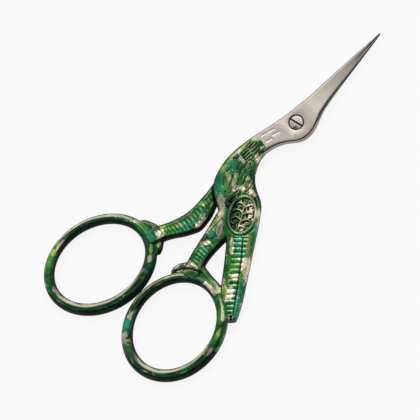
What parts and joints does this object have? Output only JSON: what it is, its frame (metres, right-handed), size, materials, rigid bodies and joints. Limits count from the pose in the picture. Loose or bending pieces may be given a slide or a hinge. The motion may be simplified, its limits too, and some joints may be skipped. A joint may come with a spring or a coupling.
{
  "type": "embroidery scissors",
  "caption": "Bird-shaped embroidery scissors: forged halves that turn on a slotted pivot screw, with oval finger rings, ribbed legs and tail, and a mottled green coat.",
  "frame": {"origin": "on the pivot axis, on the plane of the flat back", "axes": "+Y from the pivot to the tips, +X to the tail side, +Z along the pivot axis to the screw head"},
  "size_m": [0.046, 0.096, 0.0039],
  "materials": {
    "coat": "glossy mottled green lacquer over a carved casting",
    "blade_steel": "satin ground steel",
    "screw_steel": "turned bright steel"
  },
  "bodies": {
    "rear": {"rear_half": "coat", "pivot_screw": "screw_steel"},
    "front": {"front_half": "coat"}
  },
  "joints": [
    {"name": "pivot", "type": "hinge", "parent": "rear", "child": "front", "pos_m": [0, 0, 0.0016], "axis": [0, 0, 1], "range_deg": [0, 60]}
  ]
}
